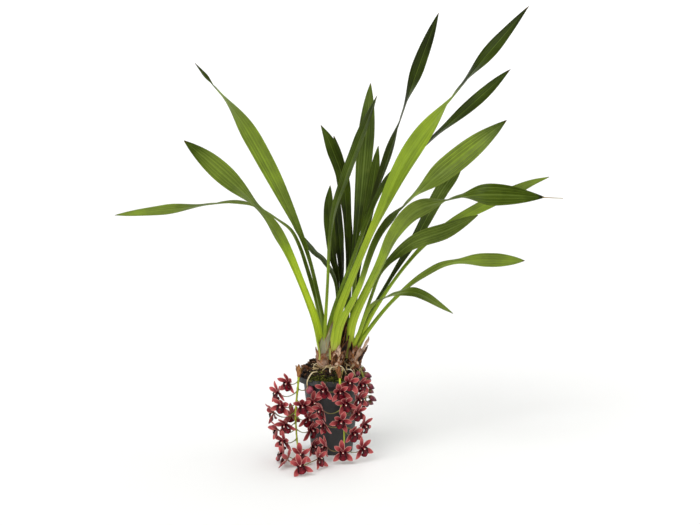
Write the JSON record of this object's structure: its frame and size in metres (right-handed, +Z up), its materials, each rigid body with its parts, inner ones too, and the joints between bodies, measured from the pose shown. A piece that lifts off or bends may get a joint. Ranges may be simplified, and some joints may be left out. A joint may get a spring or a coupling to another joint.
{
  "type": "potted orchid",
  "caption": "Pendulous orchid in a tapered growing pot: arching strap leaves over sheathed growths, and hanging spikes of small star-shaped flowers, one trailing along the surface.",
  "frame": {"origin": "on the pot's axis, on the flat face that the pot stands on", "axes": "+Z up along the pot's axis; -Y is the front, the side over which the open flower spikes hang; +X is to the right of the front"},
  "size_m": [0.8893, 0.4304, 0.8939],
  "materials": {
    "pot_plastic": "matte anthracite moulded plastic",
    "bark_mix": "rough bark chips and fine roots",
    "moss_green": "soft matte moss",
    "root_cream": "corky pale root",
    "sheath_brown": "dry papery sheath with fine long veins",
    "leaf_green": "glossy leaf with long parallel veins",
    "stem_lime": "satin smooth stem",
    "flower_brick": "waxy petal, darker in the middle and paler at its edge"
  },
  "bodies": {
    "root": {"aerial_root": "root_cream", "growth_back_left": "sheath_brown", "growth_back_right": "sheath_brown", "growth_left": "sheath_brown", "growth_middle": "sheath_brown", "growth_right": "sheath_brown", "leaf_back_left_1": "leaf_green", "leaf_back_left_2": "leaf_green", "leaf_back_left_3": "leaf_green", "leaf_back_left_4": "leaf_green", "leaf_back_left_5": "leaf_green", "leaf_back_right_1": "leaf_green", "leaf_back_right_2": "leaf_green", "leaf_back_right_3": "leaf_green", "leaf_back_right_4": "leaf_green", "leaf_left_1": "leaf_green", "leaf_left_2": "leaf_green", "leaf_left_3": "leaf_green", "leaf_left_4": "leaf_green", "leaf_left_5": "leaf_green", "leaf_middle_1": "leaf_green", "leaf_middle_2": "leaf_green", "leaf_right_1": "leaf_green", "leaf_right_2": "leaf_green", "leaf_right_3": "leaf_green", "leaf_right_4": "leaf_green", "leaf_right_5": "leaf_green", "moss": "moss_green", "pot": "pot_plastic", "potting_mix": "bark_mix", "spike_buds": "stem_lime", "spike_left": "stem_lime", "spike_left_flower_01": "flower_brick", "spike_left_flower_02": "flower_brick", "spike_left_flower_03": "flower_brick", "spike_left_flower_04": "flower_brick", "spike_left_flower_05": "flower_brick", "spike_left_flower_06": "flower_brick", "spike_left_flower_07": "flower_brick", "spike_left_flower_08": "flower_brick", "spike_left_flower_09": "flower_brick", "spike_left_flower_10": "flower_brick", "spike_left_flower_11": "flower_brick", "spike_left_flower_12": "flower_brick", "spike_left_flower_13": "flower_brick", "spike_left_flower_14": "flower_brick", "spike_right": "stem_lime", "spike_right_flower_01": "flower_brick", "spike_right_flower_02": "flower_brick", "spike_right_flower_03": "flower_brick", "spike_right_flower_04": "flower_brick", "spike_right_flower_05": "flower_brick", "spike_right_flower_06": "flower_brick", "spike_right_flower_07": "flower_brick", "spike_right_flower_08": "flower_brick", "spike_right_flower_09": "flower_brick", "spike_right_flower_10": "flower_brick", "spike_right_flower_11": "flower_brick", "spike_right_flower_12": "flower_brick", "spike_right_flower_13": "flower_brick"}
  },
  "joints": []
}
